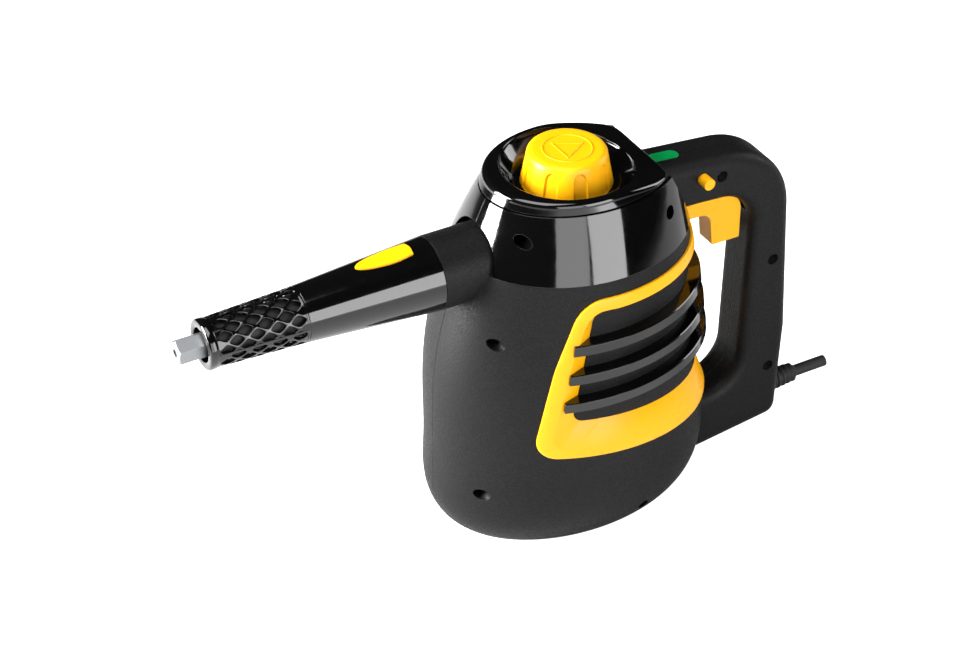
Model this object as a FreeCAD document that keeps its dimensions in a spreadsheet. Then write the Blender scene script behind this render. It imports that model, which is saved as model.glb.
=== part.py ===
import FreeCAD, Part
import os
import re
import Sketcher
from FreeCAD import Placement, Rotation, Vector

# Hand-held steam cleaner used as a wallpaper steamer, in millimetres.
# +Z is up, the jet nozzle points along -X, and the shells meet on the plane Y = 0.
# The origin is on the ground, under the axis of the filler cap.

doc = FreeCAD.newDocument("steamer")

SIZES = {
    # Elliptical stations up the casing: height, reach to the front, reach to the rear, half width.
    "base_z": 1, "base_front": 62, "base_rear": 65, "base_half": 40.5,
    "heel_z": 6, "heel_front": 72, "heel_rear": 75, "heel_half": 49.5,
    "low_z": 18, "low_front": 81.5, "low_rear": 84.5, "low_half": 58.5,
    "belly_z": 55, "belly_front": 85.4, "belly_rear": 88.5, "belly_half": 63.5,
    "waist_z": 100, "waist_front": 85, "waist_rear": 86.5, "waist_half": 65,
    "chest_z": 150, "chest_front": 78, "chest_rear": 79.5, "chest_half": 63,
    "seam_z": 188, "seam_front": 65.5, "seam_rear": 72, "seam_half": 58,
    "brow_z": 206, "brow_front": 58.5, "brow_rear": 69, "brow_half": 51.5,
    "groove_z": 223, "groove_front": 51, "groove_rear": 66, "groove_half": 43.8,
    "rim_z": 228.5, "rim_front": 48.5, "rim_rear": 64, "rim_half": 42,
    "crown_z": 231, "crown_front": 45, "crown_rear": 60.5, "crown_half": 38.5,
    "facet_low_x": 66, "facet_lean": 26.3, "slope_start_x": 10, "slope_fall": 9.8,
    "wall": 2.6, "fit_gap": 0.05, "cover_gap": 0.3, "seam_step": 0.7, "groove_gap": 1.1,
    # Handle, a closed loop behind the body.
    "grip_half": 16, "grip_wall": 3.5, "grip_round": 7.5,
    "grip_top_z": 217, "grip_top_drop": 9, "grip_rear_x": 148, "grip_rear_lean": 7, "grip_mid_z": 78,
    "grip_heel_z": 13, "grip_heel_lean": 2.5, "grip_foot_z": 2, "grip_start_x": 44, "grip_foot_x": 62,
    "hand_top_z": 186.5, "hand_top_drop": 5, "hand_rear_x": 118.5, "hand_rear_lean": 3,
    "hand_low_z": 45, "grip_corner_r": 47, "grip_heel_r": 9, "hand_top_r": 24, "hand_low_r": 22,
    # Jet nozzle on its own axis.
    "jet_z": 185.5, "collar_x": 86.2, "collar_r": 21.3, "collar_bore": 18.6, "saddle_r": 24.3,
    "cone_x": 86.5, "cone_end_x": 165, "cone_end_r": 15.9, "cone_wall": 2.4,
    "spigot_r": 18.55, "spigot_len": 18,
    "sleeve_end_x": 218, "sleeve_end_r": 13.9, "sleeve_wall": 2,
    "ring_x": 222, "ring_r": 14.3, "ring_bore": 9.6,
    "tip_x": 236.5, "tip_corner_r": 7.25, "tip_root_x": 212, "tube_r": 4, "tube_bore": 2.2,
    "hole_rings": 8, "holes_round": 11, "hole_side": 4.3,
    "latch_front_x": 130.5, "latch_rear_x": 97.5, "latch_half": 6.3, "latch_gap": 0.25,
    # Filler cap and its bowl.
    "bowl_r": 37.5, "bowl_floor_r": 29, "bowl_floor_z": 217.5, "neck_r": 17, "neck_bore": 14,
    "cap_z": 218.6, "cap_r": 26, "cap_top_r": 22.4, "cap_h": 21.2, "cap_wall": 3.2,
    "cap_slots": 9, "cap_slot_depth": 1.1, "cap_slot_deg": 18, "cap_mark_r": 13.8,
    "plug_r": 13.95, "plug_len": 14, "relief_r": 4,
    # Side window, its yellow frame and its fins. The lower edges fall towards the rear.
    "edge_fall": 6.3, "frame_low_z": 73.6, "frame_top_z": 178.6, "frame_front_low_x": 50,
    "frame_front_mid_x": 38.5, "frame_mid_z": 139, "frame_front_top_x": 22,
    "frame_proud": 1.2, "frame_back": 7, "panel_low_z": 96.4,
    "panel_top_z": 168.5, "panel_depth": 4.6, "notch_half": 8,
    "panel_front_low_x": 27.5, "panel_front_top_x": 14, "window_rear_x": 140,
    "fin_first_z": 110.5, "fin_step": 18.3, "fin_h": 6.5, "fin_count": 3, "fin_proud": 2.4,
    "fin_front_low_x": 34, "fin_front_step": 2.8,
    # Trigger, lock button and lamp.
    "pivot_x": 72, "pivot_z": 191, "pivot_r": 2, "hub_r": 4.2, "trigger_half": 6.5,
    "trigger_low_z": 148, "trigger_face_x": 93, "trigger_back_x": 114, "trigger_arm_z": 172,
    "trigger_nose_x": 53.5, "trigger_slot": 0.6, "lock_x": 80, "lock_z": 203.5, "lock_r": 3.5, "lock_out": 7,
    "lens_x": 63, "lens_len": 19, "lens_half": 4.2, "lens_low_z": 212.4, "lens_proud": 0.2, "lamp_r": 2.4,
    # Mains cord.
    "cord_z": 26, "cord_r": 3.6, "cord_end_x": 190, "boot_r": 7.1, "boot_x": 145.8, "boot_len": 22,
    # Screws that hold the half shells together.
    "screw_r": 1.5, "screw_head_r": 3.1, "screw_head_h": 2.2, "screw_sunk_r": 3.5, "boss_r": 5.4,
    "screw_seat_y": 8, "screw_depth": 12, "screw_slot": 0.8, "screw_slot_deep": 1,
    # Boiler.
    "boiler_low_z": 44, "boiler_split_z": 98, "boiler_top_z": 158, "boiler_r": 44, "boiler_wall": 3,
    "flange_r": 51, "flange_h": 4, "gasket_h": 1.2, "flange_screw_ring": 47.6, "flange_screws": 6,
    "leg_r": 4, "leg_place": 34.5, "heater_r": 30, "heater_tube_r": 3.6,
    # Steam valve.
    "valve_x": 56, "valve_low_z": 146, "valve_h": 14, "valve_half": 8, "stem_r": 2.2, "stem_top_z": 171.8,
    "stem_disc_r": 5, "spring_wire_r": 0.5, "spring_r": 3.8, "pipe_r": 3,
    "outlet_x": 38, "outlet_end_x": 72, "outlet_r": 8, "outlet_bore": 4.05,
    "foot_r": 7, "foot_h": 2.5, "foot_x": 41, "foot_y": 20,
}

sheet = doc.addObject("Spreadsheet::Sheet", "Sizes")
for line, (alias, size) in enumerate(SIZES.items(), start=1):
    sheet.set(f"A{line}", alias)
    sheet.set(f"B{line}", str(size))
    sheet.setAlias(f"B{line}", alias)
doc.recompute()

NODES = []
FAR = "400"
ALONG = {
    "Z": Rotation(),
    "X": Rotation(Vector(0, 1, 0), 90),
    "-X": Rotation(Vector(0, 1, 0), -90),
    "Y": Rotation(Vector(1, 0, 0), -90),
    "-Y": Rotation(Vector(1, 0, 0), 90),
}


def formula(text):
    """An expression in which each alias is read from the sheet."""
    return re.sub(r"[a-z_][a-z0-9_]*", lambda m: f"Sizes.{m[0]}" if m[0] in SIZES else m[0], str(text))


PROBE = doc.addObject("App::FeaturePython", "Probe")
PROBE.addProperty("App::PropertyFloat", "Reading")


def size_of(text):
    """The number that a formula gives, for a spot in a sketch before its constraints are bound."""
    PROBE.setExpression("Reading", formula(text))
    PROBE.recompute()
    return PROBE.Reading


def bind(item, **sizes):
    """Binds properties to formulas. An underscore in a name stands for a dot."""
    for name, text in sizes.items():
        item.setExpression(name.replace("_", "."), formula(text))
    return item


def place(item, at=(0, 0, 0), along="Z"):
    item.Placement = Placement(Vector(), along if isinstance(along, Rotation) else ALONG[along])
    return bind(item, Placement_Base_x=at[0], Placement_Base_y=at[1], Placement_Base_z=at[2])


def make(kind, name):
    return doc.addObject(kind, name)


def box(name, low, high):
    """A block between two corners given as formulas."""
    item = place(make("Part::Box", name), low)
    spans = [f"({b}) - ({a})" for a, b in zip(low, high)]
    return bind(item, Length=spans[0], Width=spans[1], Height=spans[2])


def rod(name, r, length, at, along="Z"):
    return bind(place(make("Part::Cylinder", name), at, along), Radius=r, Height=length)


def taper(name, r_start, r_end, length, at, along="Z"):
    return bind(place(make("Part::Cone", name), at, along), Radius1=r_start, Radius2=r_end, Height=length)


def torus(name, ring_r, tube_r, at, along="Z"):
    return bind(place(make("Part::Torus", name), at, along), Radius1=ring_r, Radius2=tube_r)


def cut(name, base, *tools):
    for number, tool in enumerate(tools):
        item = make("Part::Cut", f"{name}_less_{number}")
        item.Base, item.Tool = base, tool
        base = item
    return base


def fuse(name, *items):
    item = make("Part::MultiFuse", name)
    item.Shapes = list(items)
    return item


def common(name, *items):
    item = make("Part::MultiCommon", name)
    item.Shapes = list(items)
    return item


def group(name, *items):
    """Separate solids that share one node."""
    item = make("Part::Compound", name)
    item.Links = list(items)
    return item


def node(name, item):
    item.Label = name
    NODES.append((name, item))
    return item


# Blocks that hold the two halves of the object.
LEFT_HALF = box("left_half", ("-" + FAR, "-" + FAR, "-" + FAR), (FAR, "0", FAR))
RIGHT_HALF = box("right_half", ("-" + FAR, "0", "-" + FAR), (FAR, FAR, FAR))
SIDES = (("left", LEFT_HALF), ("right", RIGHT_HALF))


def stations_loft(name, stations, ruled=False):
    """A solid through elliptical stations, each given as (station name, growth, height formula)."""
    rings = []
    for number, (station, grow, height) in enumerate(stations):
        front, rear, half = f"{station}_front", f"{station}_rear", f"{station}_half"
        ring = place(make("Part::Ellipse", f"{name}_ring_{number}"), (f"({rear} - {front}) / 2", "0", height))
        bind(ring, MajorRadius=f"({rear} + {front}) / 2 + {grow}", MinorRadius=f"{half} + {grow}")
        rings.append(ring)
    loft = make("Part::Loft", name)
    loft.Sections = rings
    loft.Solid, loft.Ruled = True, ruled
    return loft


BODY_STATIONS = ("base", "heel", "low", "belly", "waist", "chest", "seam")


def casing(name, grow):
    return stations_loft(name, [(s, grow, f"{s}_z") for s in BODY_STATIONS])


def outline_sketch(body, name, corners):
    """A closed XZ outline on the body's own plane, each corner bound to its formulas."""
    sketch = body.newObject("Sketcher::SketchObject", name + "_outline")
    plane = next(f for f in body.Origin.OriginFeatures if f.Role == "XZ_Plane")
    sketch.AttachmentSupport = [(plane, "")]
    sketch.MapMode = "FlatFace"
    spots = [Vector(size_of(x), size_of(z), 0) for x, z in corners]
    for number, spot in enumerate(spots):
        sketch.addGeometry(Part.LineSegment(spot, spots[(number + 1) % len(spots)]))
    for number in range(len(corners)):
        sketch.addConstraint(Sketcher.Constraint("Coincident", number, 2, (number + 1) % len(corners), 1))
    for number, pair in enumerate(corners):
        for axis, text in zip("XY", pair):
            kind = "Distance" + axis
            index = sketch.addConstraint(Sketcher.Constraint(kind, -1, 1, number, 1, size_of(text)))
            sketch.setExpression(f"Constraints[{index}]", formula(text))
    return sketch


def outline_pad(name, corners, half, rounds=(), rim=None):
    """A Body: a closed XZ outline of formula points, padded evenly about Y = 0, its corners and rim rounded.
    Each of rounds is (corner number, radius formula)."""
    body = make("PartDesign::Body", name)
    sketch = outline_sketch(body, name, corners)
    pad = body.newObject("PartDesign::Pad", name + "_pad")
    pad.Profile = sketch
    pad.SideType = "Symmetric"
    bind(pad, Length=f"2 * ({half})")
    doc.recompute()
    tip = pad
    for number, (corner, radius) in enumerate(rounds):
        x, z = (size_of(v) for v in corners[corner])
        tip = round_edges(body, tip, f"{name}_round_{number}", radius, upright_at(x, z))
    if rim is not None:
        tip = round_edges(body, tip, name + "_rim", rim, rim_edge(size_of(half), size_of(corners[0][0])))
    return body


def upright_at(x, z):
    """Picks the edge that runs across the pad at one corner of its outline."""
    def wanted(edge):
        ends = [v.Point for v in edge.Vertexes]
        return all(abs(p.x - x) < 1e-3 and abs(p.z - z) < 1e-3 for p in ends)
    return wanted


def rim_edge(half, first_x):
    """Picks the edges of a pad's two flat faces, apart from those at its front ends inside the casing."""
    def wanted(edge):
        ends = [v.Point for v in edge.Vertexes]
        on_face = all(abs(abs(p.y) - half) < 1e-3 for p in ends)
        inside = all(abs(p.x - ends[0].x) < 1e-3 for p in ends) and ends[0].x < first_x + 20
        return on_face and not inside
    return wanted


def round_edges(body, base, name, radius, wanted):
    names = [f"Edge{i + 1}" for i, edge in enumerate(base.Shape.Edges) if wanted(edge)]
    item = body.newObject("PartDesign::Fillet", name)
    item.Base = (base, names)
    bind(item, Radius=radius)
    doc.recompute()
    return item


def grip(name, inset, rim):
    """The handle loop. inset moves its whole outline inwards, or outwards if negative."""
    corners = (
        ("grip_start_x", f"grip_top_z - ({inset})"),
        (f"grip_rear_x - grip_rear_lean - ({inset})", f"grip_top_z - grip_top_drop - ({inset})"),
        (f"grip_rear_x - ({inset})", "grip_mid_z"),
        (f"grip_rear_x - grip_heel_lean - ({inset})", f"grip_heel_z + ({inset})"),
        ("grip_foot_x", f"grip_foot_z + ({inset})"),
        ("grip_foot_x", f"hand_low_z - ({inset})"),
        (f"hand_rear_x - hand_rear_lean + ({inset})", f"hand_low_z - ({inset})"),
        (f"hand_rear_x + ({inset})", f"hand_top_z - hand_top_drop + ({inset})"),
        ("grip_start_x", f"hand_top_z + ({inset})"),
    )
    rounds = (
        (1, f"grip_corner_r - ({inset})"),
        (3, f"grip_heel_r - ({inset}) / 2"),
        (6, f"hand_low_r + ({inset})"),
        (7, f"hand_top_r + ({inset})"),
    )
    return outline_pad(name, corners, f"grip_half - ({inset})", rounds, rim)


# Screw places on the left side, as (x, z).
SHELL_SCREWS = (("93", "201"), ("133", "131"), ("135.5", "52.5"),
                ("-64", "151.5"), ("-72", "48"), ("23", "19"))
SHROUD_SCREWS = (("-44.5", "210"), ("41.5", "208.5"))
FEET = [(x, y) for x in ("-foot_x", "foot_x") for y in ("foot_y", "-foot_y")]


def across(name, r, start, end, x, z):
    """A rod that runs along Y from start to end."""
    return rod(name, r, f"({end}) - ({start})", (x, start, z), "Y")


def screw_bosses(name, places, outer):
    """Posts for the screws, cut to the outside of the shell they stand in."""
    posts = [across(f"{name}_post", "boss_r", "-" + FAR, FAR, x, z) for x, z in places]
    return common(name, fuse(name + "_posts", *posts), outer)


def screw_holes(name, places):
    """Sunk head from the left, clearance to the seam and a pilot hole beyond it."""
    items = []
    for x, z in places:
        items.append(across(name + "_sink", "screw_sunk_r", "-" + FAR, "-screw_seat_y", x, z))
        items.append(across(name + "_hole", "screw_r + fit_gap", "-screw_seat_y - 1", "screw_depth", x, z))
    return fuse(name, *items)


def screw(name, x, z):
    """A cross-head screw whose head faces left."""
    head = across(name + "_head", "screw_head_r", "-screw_seat_y - screw_head_h", "-screw_seat_y", x, z)
    shank = across(name + "_shank", "screw_r", "-screw_seat_y", "screw_depth - 1", x, z)
    deep = "-screw_seat_y - screw_head_h + screw_slot_deep"
    thin, reach = "screw_slot / 2", "screw_head_r * 0.7"
    upright = box(name + "_slot_a", (f"{x} - {thin}", "-" + FAR, f"{z} - {reach}"),
                  (f"{x} + {thin}", deep, f"{z} + {reach}"))
    level = box(name + "_slot_b", (f"{x} - {reach}", "-" + FAR, f"{z} - {thin}"),
                (f"{x} + {reach}", deep, f"{z} + {thin}"))
    return cut(name, fuse(name + "_blank", head, shank), upright, level)


def side_prism(name, front, low_z, top_z, rounds):
    """A prism across the body, open to the rear, whose lower edge falls rearwards by edge_fall degrees.
    low_z is that edge's height at x = 0, and front lists the corners of the front edge as (x, z)."""
    fall = "tan(edge_fall)"
    low_x = front[0][0]
    corners = ((low_x, f"{low_z} - ({low_x}) * {fall}"),
               ("window_rear_x", f"{low_z} - window_rear_x * {fall}"),
               ("window_rear_x", top_z), *reversed(front[1:]))
    last = len(corners) - 1
    places = (0, 3) if last == 3 else (0, 4, 3)
    return outline_pad(name, corners, "window_rear_x", tuple(zip(places, rounds)))


def frame_prism(name, inset, rounds):
    """The outline of the yellow frame, moved inwards by inset."""
    front = ((f"-frame_front_low_x + {inset}", ""), (f"-frame_front_mid_x + {inset}", "frame_mid_z"),
             (f"-frame_front_top_x + {inset}", f"frame_top_z - ({inset})"))
    return side_prism(name, front, f"frame_low_z + ({inset})", f"frame_top_z - ({inset})", rounds)


def panel_prism(name):
    """The outline of the vent panel."""
    front = (("-panel_front_low_x", ""), ("-panel_front_top_x", "panel_top_z"))
    return side_prism(name, front, "panel_low_z", "panel_top_z", ("6", "7"))


CASING_OUT = casing("casing_outside", "0")
CASING_IN = casing("casing_inside", "-wall")
GRIP_OUT = grip("grip_outside", "0", "grip_round")
FRAME_PRISM = frame_prism("frame_outline", "0", ("13", "60", "18"))
WINDOW_PRISM = frame_prism("window_outline", "-fit_gap * 2", ("13", "60", "18"))
FRAME_BACKS = casing("frame_back_face", "-frame_back")


def trigger_slot():
    """The opening along the inside of the handle for the trigger, as wide as the trigger and its gap."""
    half = "trigger_half + trigger_slot"
    top = "hand_top_z + grip_wall + 0.5"
    under = box("slot_under_bar", ("trigger_nose_x - 1.5", f"-({half})", "trigger_arm_z - 2"),
                ("trigger_back_x + 4", half, top))
    corner = box("slot_in_corner", ("trigger_face_x", f"-({half})", "trigger_arm_z - 6"),
                 ("trigger_back_x + 4", half, top))
    return fuse("trigger_slot_tool", under, corner)


def stadium(name, half, length, x, low_z, high_z):
    """An upright block with round ends, centred at x."""
    reach = f"(({length}) / 2 - ({half}))"
    middle = box(name + "_middle", (f"{x} - {reach}", f"-({half})", low_z), (f"{x} + {reach}", half, high_z))
    ends = [rod(name + "_end", half, f"({high_z}) - ({low_z})", (f"{x} {sign} {reach}", "0", low_z))
            for sign in "+-"]
    return fuse(name, middle, *ends)


def shells():
    """The two matt half shells: body, collar for the nozzle and handle in one moulding each."""
    collar_start = "48"
    collar = rod("collar_outside", "collar_r", f"collar_x - {collar_start}",
                 ("-" + collar_start, "0", "jet_z"), "-X")
    outside = fuse("shell_outside", CASING_OUT, collar, GRIP_OUT)
    floor_z = "base_z + 3"
    above_floor = box("above_floor", ("-" + FAR, "-" + FAR, floor_z), (FAR, FAR, FAR))
    cavity = common("shell_cavity", CASING_IN, above_floor)
    bore = rod("collar_bore_tool", "collar_bore", "60", ("-40", "0", "jet_z"), "-X")
    hollow = cut("shell_hollow", outside, cavity, bore, grip("grip_inside", "grip_wall", None))
    window = cut("window_tool", common("window_block", WINDOW_PRISM, casing("window_reach", "3")),
                 casing("window_stop", "-frame_back - cover_gap"))
    opened = cut("shell_opened", hollow, window)
    legs = [rod("boiler_leg", "leg_r", f"boiler_split_z - flange_h - 0.2 - ({floor_z})", (x, y, floor_z))
            for x in ("-leg_place", "leg_place") for y in ("-leg_place", "leg_place")]
    posts = screw_bosses("shell_bosses", SHELL_SCREWS, fuse("boss_limit", CASING_OUT, GRIP_OUT))
    hubs = [rod("pivot_hub", "hub_r", "grip_half - 2 - trigger_half - trigger_slot",
                ("pivot_x", f"{sign} (trigger_half + trigger_slot)", "pivot_z"), along)
            for sign, along in (("", "Y"), ("-", "-Y"))]
    solid = fuse("shell_solid", opened, posts, *legs, *hubs)
    tools = (
        trigger_slot(),
        screw_holes("shell_screw_holes", SHELL_SCREWS),
        across("pivot_bore", "pivot_r", "-pivot_r * 6", "pivot_r * 6", "pivot_x", "pivot_z"),
        across("lock_bore", "lock_r + fit_gap", "-30", "30", "lock_x", "lock_z"),
        stadium("lens_recess", "lens_half + fit_gap", "lens_len + 2 * fit_gap",
                "lens_x", "lens_low_z", "230"),
        rod("cord_bore", "cord_r + fit_gap", "40", ("boot_x - 25", "0", "cord_z"), "X"),
        rod("boot_seat", "boot_r - 1.5 + fit_gap", "20", ("boot_x - 2 - fit_gap", "0", "cord_z"), "X"),
        box("below_base", ("-" + FAR, "-" + FAR, "-50"), (FAR, FAR, "base_z")),
        *[rod("foot_recess", "foot_r + fit_gap", "foot_h + 1", (x, y, "-1")) for x, y in FEET],
    )
    whole = cut("shell_cut", solid, *tools)
    for side, half in SIDES:
        node(f"{side}_shell", common(f"{side}_shell_half", whole, half))


def side_frames():
    """Yellow frames round the vents, matt panels inside them, and gloss fins across the panels."""
    outer = casing("frame_face", "frame_proud")
    panel_zone = panel_prism("panel_outline")
    notch = box("trigger_notch", ("pivot_x - 20", "-notch_half", "panel_top_z - 0.5"),
                ("window_rear_x + 1", "notch_half", "seam_z"))
    frame = common("frame_band", cut("frame_outline_ring", FRAME_PRISM, panel_zone, notch),
                   cut("frame_skin", outer, FRAME_BACKS))
    panel_block = common("panel_block", panel_zone, casing("panel_face", "-panel_depth"))
    panel = cut("panel_sheet", panel_block, FRAME_BACKS)
    strut_core = cut("strut_core", outer, panel_zone)
    root = casing("fin_root", "-panel_depth")
    crest = casing("fin_crest", "fin_proud")
    for side, half in SIDES:
        node(f"{side}_vent_frame", common(f"{side}_frame_half", frame, half))
        node(f"{side}_vent_panel", common(f"{side}_panel_half", panel, half))
        fins = []
        for number in range(int(SIZES["fin_count"])):
            low = f"fin_first_z + {number} * fin_step"
            start = f"-fin_front_low_x + {number} * fin_front_step"
            slab = box(f"{side}_fin_slab", (start, "-" + FAR, low), ("window_rear_x", FAR, f"{low} + fin_h"))
            block = common(f"{side}_fin_block", crest, slab, half)
            fins.append(cut(f"{side}_fin_{number}", block, root, strut_core))
        node(f"{side}_vent_fins", group(f"{side}_fins", *fins))


def rear_facet():
    """A block behind the leaning flat at the rear of the shroud and crown."""
    drop = "20"
    block = place(make("Part::Box", "rear_facet"),
                  (f"facet_low_x + {drop} * tan(facet_lean)", "-100", f"seam_z - {drop}"),
                  Rotation(Vector(0, 1, 0), -SIZES["facet_lean"]))
    return bind(block, Length="100", Width="200", Height="200")


def crown_slope():
    """A block over the rear of the crown, whose top falls rearwards from slope_start_x."""
    reach = "100"
    block = place(make("Part::Box", "crown_slope"),
                  (f"slope_start_x - {reach} * cos(slope_fall)", "-100", f"crown_z + {reach} * sin(slope_fall)"),
                  Rotation(Vector(0, 1, 0), SIZES["slope_fall"]))
    return bind(block, Length="300", Width="200", Height="100")


REAR_FACET = rear_facet()


def shroud():
    """The gloss upper casing in two halves, with a saddle over the collar."""
    outside = stations_loft("shroud_outside", (
        ("seam", "seam_step", "seam_z + cover_gap"), ("brow", "seam_step / 2", "brow_z"),
        ("groove", "0", "groove_z")))
    inside = stations_loft("shroud_inside", (
        ("seam", "-wall", "seam_z - 1"), ("brow", "-wall", "brow_z"), ("groove", "-wall", "groove_z + 1")))
    saddle = rod("saddle_tool", "saddle_r", "200", ("0", "0", "jet_z"), "-X")
    grip_gap = grip("grip_clearance", "-cover_gap", "grip_round")
    hollow = cut("shroud_hollow", outside, inside, saddle, REAR_FACET, grip_gap)
    bosses = screw_bosses("shroud_bosses", SHROUD_SCREWS, outside)
    posts = cut("shroud_posts", bosses, saddle, REAR_FACET, grip_gap)
    holes = screw_holes("shroud_screw_holes", SHROUD_SCREWS)
    whole = cut("shroud_cut", fuse("shroud_solid", hollow, posts), holes)
    for side, half in SIDES:
        node(f"{side}_shroud", common(f"{side}_shroud_half", whole, half))


def filler_bowl():
    """The gloss crown with a round bowl in which the cap sits."""
    crown = stations_loft("crown_outside", (
        ("groove", "0", "groove_z + groove_gap"), ("rim", "0", "rim_z"), ("crown", "0", "crown_z")))
    spigot = stations_loft("crown_spigot", (
        ("groove", "-wall - cover_gap", "bowl_floor_z - 3"),
        ("groove", "-wall - cover_gap - 0.5", "groove_z + 3")))
    bowl = taper("bowl_cone", "bowl_floor_r", "bowl_r", "crown_z - bowl_floor_z", ("0", "0", "bowl_floor_z"))
    neck = rod("bowl_neck_hole", "neck_r + cover_gap", "30", ("0", "0", "bowl_floor_z - 15"))
    posts = [across("bowl_post_clearance", "boss_r + cover_gap", "-" + FAR, FAR, x, z) for x, z in SHROUD_SCREWS]
    grip_gap = grip("bowl_grip_clearance", "-cover_gap", "grip_round")
    node("filler_bowl", cut("filler_bowl_cut", fuse("filler_bowl_solid", crown, spigot),
                            REAR_FACET, crown_slope(), bowl, neck, grip_gap, *posts))


def revolved(name, corners, at=("0", "0", "0"), along="Z"):
    """A Body turned about Z from (radius, height) formulas, then laid along another axis if asked."""
    body = place(make("PartDesign::Body", name), at, along)
    sketch = outline_sketch(body, name, corners)
    turn = body.newObject("PartDesign::Revolution", name + "_turn")
    turn.Profile = sketch
    turn.ReferenceAxis = (sketch, ["V_Axis"])
    turn.Angle = 360
    doc.recompute()
    return body


def filler_cap():
    """The yellow knob, with slots round its skirt and a raised ring and triangle on top."""
    top = "cap_z + cap_h"
    knob = revolved("cap_blank", (
        ("0", top), ("cap_top_r - 3", top), ("cap_top_r - 0.8", f"{top} - 0.9"),
        ("cap_top_r + 0.1", f"{top} - 2.9"), ("cap_r - 0.15", "cap_z + 1.2"), ("cap_r - 0.6", "cap_z"),
        ("cap_r - cap_wall", "cap_z"), ("cap_top_r - cap_wall - 0.5", f"{top} - cap_wall"),
        ("0", f"{top} - cap_wall")))
    half_width = "cap_r * sin(cap_slot_deg / 2)"
    reach = "(cap_r - cap_slot_depth - 0.6)"
    slots = []
    for number in range(int(SIZES["cap_slots"])):
        angle = 360 * number / SIZES["cap_slots"] - 102
        at = (f"{reach} * cos({angle}) + {half_width} * sin({angle})",
              f"{reach} * sin({angle}) - {half_width} * cos({angle})", "cap_z - 0.5")
        slot = place(make("Part::Box", "cap_slot"), at, Rotation(Vector(0, 0, 1), angle))
        slots.append(bind(slot, Length="10", Width=f"2 * {half_width}", Height="cap_h - 3.6"))
    ring = cut("cap_ring", rod("cap_ring_out", "cap_mark_r + 0.45", "0.35", ("0", "0", top)),
               rod("cap_ring_in", "cap_mark_r - 0.45", "1", ("0", "0", top)))
    bars = []
    for number in range(3):
        angle = 120 * number - 29
        at = (f"-cap_mark_r * 0.62 * cos({angle}) - cap_mark_r * 0.36 * sin({angle})",
              f"-cap_mark_r * 0.62 * sin({angle}) + cap_mark_r * 0.36 * cos({angle})", top)
        bar = place(make("Part::Box", "cap_mark_bar"), at, Rotation(Vector(0, 0, 1), angle))
        bars.append(bind(bar, Length="cap_mark_r * 1.24", Width="0.8", Height="0.35"))
    slotted = cut("cap_slotted", knob, fuse("cap_slot_tools", *slots))
    node("filler_cap_knob", fuse("cap_marked", slotted, ring, *bars))
    roof = f"{top} - cap_wall"
    plug_low = "(cap_z - plug_len)"
    node("filler_cap_plug", revolved("cap_plug_turned", (
        ("relief_r + 0.5", plug_low), ("plug_r", plug_low), ("plug_r", "cap_z + 1"), ("neck_r", "cap_z + 1"),
        ("neck_r", roof), ("relief_r + 0.5", roof))))
    node("cap_seal", cut("cap_seal_ring", rod("cap_seal_out", "neck_r", "1", ("0", "0", "cap_z")),
                         rod("cap_seal_in", "plug_r + fit_gap", "2", ("0", "0", "cap_z - 0.5"))))
    node("relief_valve", fuse("relief_valve_body", rod("relief_piston", "relief_r", "4", ("0", "0", plug_low)),
                              rod("relief_rod", "1.2", f"{roof} - {plug_low}", ("0", "0", plug_low))))


def ringed(name, outer, inner, low_z, high_z):
    """An upright tube between two heights."""
    span = f"({high_z}) - ({low_z})"
    return cut(name, rod(name + "_out", outer, span, ("0", "0", low_z)),
               rod(name + "_in", inner, f"{span} + 2", ("0", "0", f"{low_z} - 1")))


def round_the_flange(name, r, low_z, high_z):
    """Upright rods on the flange's screw circle."""
    count = int(SIZES["flange_screws"])
    rods = []
    for number in range(count):
        angle = 360 / count * (number + 0.5)
        at = (f"flange_screw_ring * cos({angle})", f"flange_screw_ring * sin({angle})", low_z)
        rods.append(rod(name, r, f"({high_z}) - ({low_z})", at))
    return rods


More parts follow.
